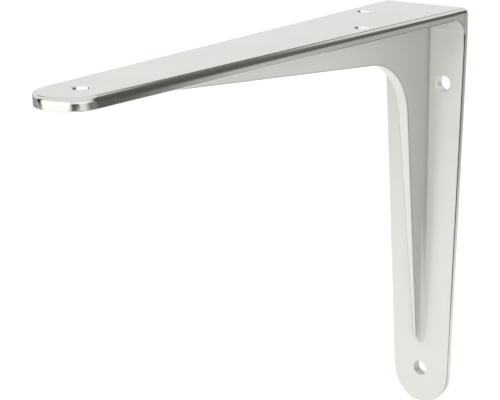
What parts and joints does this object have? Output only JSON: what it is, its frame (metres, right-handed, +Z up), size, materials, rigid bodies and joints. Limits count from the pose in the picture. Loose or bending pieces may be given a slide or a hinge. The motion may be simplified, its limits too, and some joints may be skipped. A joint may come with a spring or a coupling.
{
  "type": "shelf bracket",
  "caption": "L-shaped cast shelf bracket with tapering arms, round tips, a tapering web in the inner corner and screw holes in both arms.",
  "frame": {"origin": "on the wall face, midway between the two upper wall screw holes", "axes": "+Y towards the wall, +Z up to the shelf, X across the bracket; the shelf arm runs along -Y and the wall leg along -Z"},
  "size_m": [0.043, 0.24, 0.195],
  "materials": {
    "metal": "satin, vibratory polished die casting, clear lacquered"
  },
  "bodies": {
    "root": {"bracket": "metal"}
  },
  "joints": []
}
